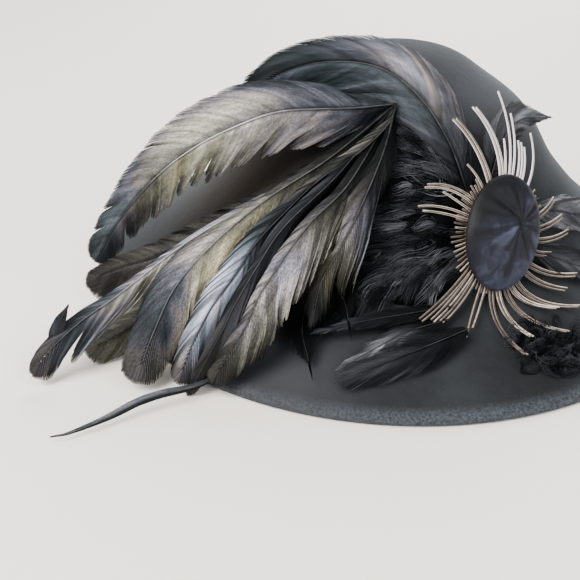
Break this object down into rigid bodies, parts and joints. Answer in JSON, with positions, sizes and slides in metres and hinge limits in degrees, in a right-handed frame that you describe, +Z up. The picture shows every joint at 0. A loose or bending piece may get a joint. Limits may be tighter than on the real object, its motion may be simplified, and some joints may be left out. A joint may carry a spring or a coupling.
{
  "type": "wool felt hat with feather trim",
  "caption": "Wool felt hat with a bell crown and a down-turned brim, trimmed on one side with swept rooster feathers, black hackle and an oval medallion ringed by clipped quills.",
  "frame": {"origin": "centre of the head opening, in the plane of the brim's edge, which is the plane the hat rests on", "axes": "+X to the front of the hat, +Y to the wearer's left, +Z up through the crown; the feather trim is on the -Y side and sweeps back towards -X"},
  "size_m": [0.3041, 0.3075, 0.1179],
  "materials": {
    "felt": "charcoal wool felt, matt with a faint fuzz",
    "plume": "iridescent rooster feather, olive gold and lilac on black",
    "pad": "dark navy satin with soft creases",
    "quill": "pale horn-coloured clipped feather shafts",
    "hackle": "black feather barbs with a soft sheen"
  },
  "bodies": {
    "root": {"felt_body": "felt", "coque_spray": "plume", "medallion": "pad", "quill_ring": "quill", "hackle_pad": "hackle", "brim_feather": "hackle", "side_tuft": "hackle"}
  },
  "joints": []
}
